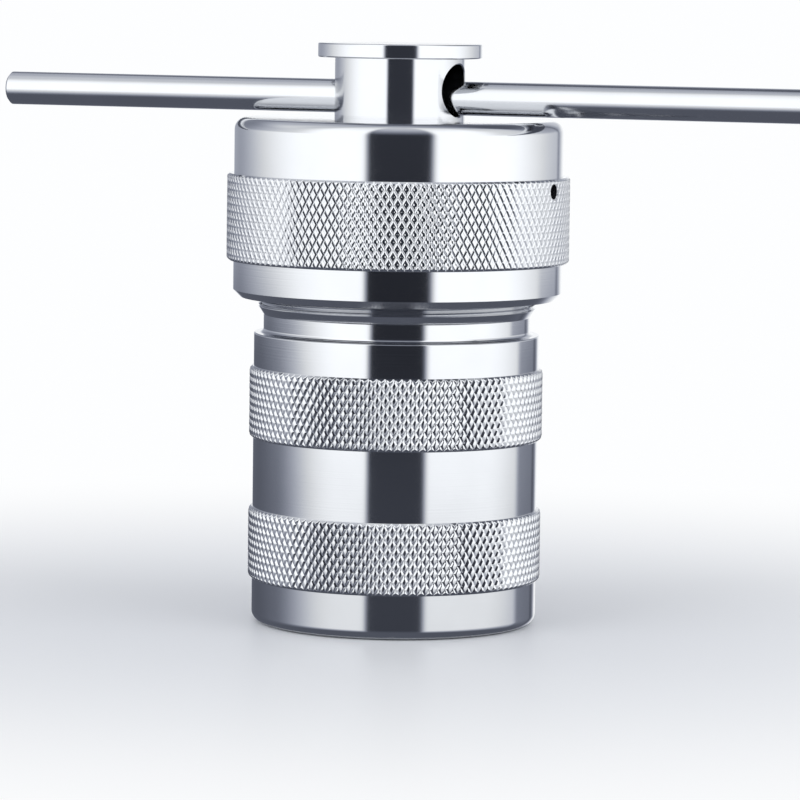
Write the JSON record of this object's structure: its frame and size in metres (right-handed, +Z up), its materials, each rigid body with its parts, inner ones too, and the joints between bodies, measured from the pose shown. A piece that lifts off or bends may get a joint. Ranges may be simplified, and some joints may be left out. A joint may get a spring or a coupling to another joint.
{
  "type": "hydrothermal reactor",
  "caption": "Stainless screw-capped pressure vessel with a white fluoropolymer liner, knurled grip bands and a flanged boss whose cross bore holds a sliding turning bar.",
  "frame": {"origin": "centre of the vessel's base, on the face it stands on", "axes": "+Z up along the vessel's axis, +X along the turning bar, +Y across it"},
  "size_m": [0.206, 0.0816, 0.1379],
  "materials": {
    "vessel_steel": "fine-turned and polished stainless steel with bright knurled bands",
    "cap_steel": "fine-turned and polished stainless steel with a bright knurled band",
    "bar_steel": "centreless-ground and polished stainless steel rod",
    "pad_steel": "turned stainless steel, unpolished",
    "spring_steel": "dark spring steel wire",
    "liner": "machined white fluoropolymer, satin"
  },
  "bodies": {
    "vessel": {"vessel_body": "vessel_steel", "lower_pad": "pad_steel", "liner_cup": "liner", "liner_lid": "liner"},
    "thrust_pad": {"pressure_pad": "pad_steel"},
    "cap": {"screw_cap": "cap_steel", "pad_snap_ring": "spring_steel"},
    "bar": {"tommy_bar": "bar_steel"}
  },
  "joints": [
    {"name": "cap_rise", "type": "slide", "parent": "vessel", "child": "thrust_pad", "axis": [0, 0, 1], "range_m": [0, 0.02]},
    {"name": "cap_turn", "type": "hinge", "parent": "thrust_pad", "child": "cap", "pos_m": [0, 0, 0.108], "axis": [0, 0, 1], "range_deg": [0, 7200]},
    {"name": "bar_slide", "type": "slide", "parent": "cap", "child": "bar", "axis": [1, 0, 0], "range_m": [-0.085, 0.085]}
  ],
  "couplings": [
    {"joint": "cap_rise", "follows": "cap_turn", "m_per_rad": 0.00015915}
  ]
}
